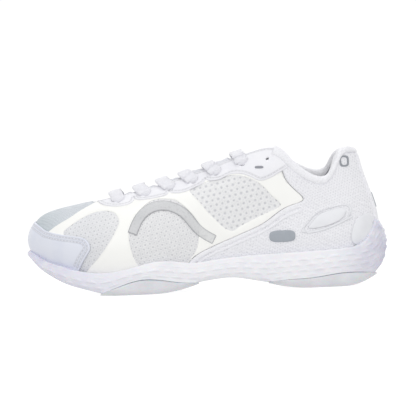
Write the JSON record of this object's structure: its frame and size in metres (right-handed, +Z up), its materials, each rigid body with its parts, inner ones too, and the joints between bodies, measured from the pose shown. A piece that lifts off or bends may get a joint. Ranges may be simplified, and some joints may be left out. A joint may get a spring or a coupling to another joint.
{
  "type": "cheer shoe",
  "caption": "Low lace-up cheer shoe for the left foot: mesh upper with welded film, cupped foam midsole and split rubber outsole.",
  "frame": {"origin": "on the ground under the middle of the shoe's outer box", "axes": "-X towards the toe, -Y towards the lateral side, +Z up"},
  "size_m": [0.2644, 0.102, 0.1043],
  "materials": {
    "midsole_foam": "satin moulded foam",
    "clear_rubber": "milky translucent rubber",
    "strobel_board": "pressed fibre",
    "insole_foam": "soft foam",
    "sock_textile": "smooth knit",
    "mesh": "open engineered mesh over a pale backing",
    "stiffener": "pressed sheet",
    "toe_cap_synthetic": "smooth coated synthetic",
    "fused_film": "satin welded film",
    "heel_textile": "small dimpled knit",
    "eyestay_synthetic": "smooth coated synthetic",
    "wave_band": "translucent grey film",
    "moulded_pad": "satin moulded",
    "badge": "grey moulded badge",
    "collar_foam": "soft foam",
    "lining": "brushed knit",
    "tongue_textile": "padded mesh",
    "lace_textile": "flat braid",
    "aglet": "clear film"
  },
  "bodies": {
    "shoe": {"midsole": "midsole_foam", "forefoot_outsole": "clear_rubber", "heel_outsole": "clear_rubber", "strobel_board": "strobel_board", "insole": "insole_foam", "insole_cover": "sock_textile", "vamp": "mesh", "quarter_lateral": "mesh", "quarter_medial": "mesh", "toe_puff": "stiffener", "heel_counter": "stiffener", "toe_cap": "toe_cap_synthetic", "film_overlay_lateral": "fused_film", "film_overlay_medial": "fused_film", "heel_textile_lateral": "heel_textile", "heel_textile_medial": "heel_textile", "eyestay_lateral": "eyestay_synthetic", "eyestay_medial": "eyestay_synthetic", "wave_band_lateral": "wave_band", "wave_band_medial": "wave_band", "thumb_pad_lateral": "moulded_pad", "thumb_pad_medial": "moulded_pad", "heel_grip_lateral": "moulded_pad", "heel_grip_medial": "moulded_pad", "backstay": "heel_textile", "side_badge": "badge", "heel_badge": "badge", "collar_padding": "collar_foam", "collar_lining": "lining", "tongue": "tongue_textile", "lace": "lace_textile", "aglets": "aglet"},
    "tongue_tip": {"tongue_top": "tongue_textile"}
  },
  "joints": [
    {"name": "tongue_flex", "type": "hinge", "parent": "shoe", "child": "tongue_tip", "pos_m": [0.0355, 0, 0.10117], "axis": [0, -1, 0], "range_deg": [-12, 60], "stiffness_Nm_per_rad": 0.05}
  ]
}
